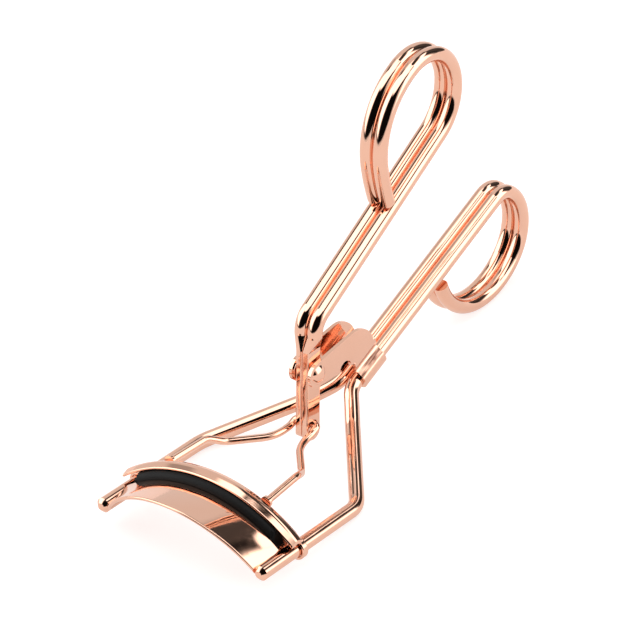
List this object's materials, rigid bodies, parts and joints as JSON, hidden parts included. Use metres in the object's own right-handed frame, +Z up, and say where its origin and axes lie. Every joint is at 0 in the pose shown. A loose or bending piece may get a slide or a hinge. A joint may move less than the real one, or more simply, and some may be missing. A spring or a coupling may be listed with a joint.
{
  "type": "eyelash curler",
  "caption": "Hand-held eyelash curler: squeezing two finger loops slides a padded curved jaw along rails against a fixed curved jaw.",
  "frame": {"origin": "on the table under the middle of the whole curler, which lies on its two rail bends and its lower finger loop", "axes": "+Z up from the table, +Y from the jaws towards the finger loops, +X across the jaws"},
  "size_m": [0.0424, 0.1136, 0.0686],
  "materials": {
    "rose_gold": "rose-gold plating, mirror polished",
    "silicone": "satin moulded silicone"
  },
  "bodies": {
    "frame": {"frame_wire_left": "rose_gold", "frame_wire_right": "rose_gold", "fixed_jaw": "rose_gold", "pivot_bracket": "rose_gold", "pivot_rivet": "rose_gold", "spacer_washer_left": "rose_gold", "spacer_washer_right": "rose_gold"},
    "lever": {"lever_wire_left": "rose_gold", "lever_wire_right": "rose_gold"},
    "slider": {"moving_jaw": "rose_gold", "jaw_eye_left": "rose_gold", "jaw_eye_right": "rose_gold", "silicone_pad": "silicone", "link_yoke": "rose_gold"}
  },
  "joints": [
    {"name": "lever_pivot", "type": "hinge", "parent": "frame", "child": "lever", "pos_m": [0, -0.01303, 0.01839], "axis": [1, 0, 0], "range_deg": [0, 30]},
    {"name": "jaw_slide", "type": "slide", "parent": "frame", "child": "slider", "axis": [0, 0.9882, -0.1534], "range_m": [0, 0.0064]}
  ],
  "couplings": [
    {"joint": "jaw_slide", "follows": "lever_pivot", "m_per_rad": 0.0121}
  ]
}
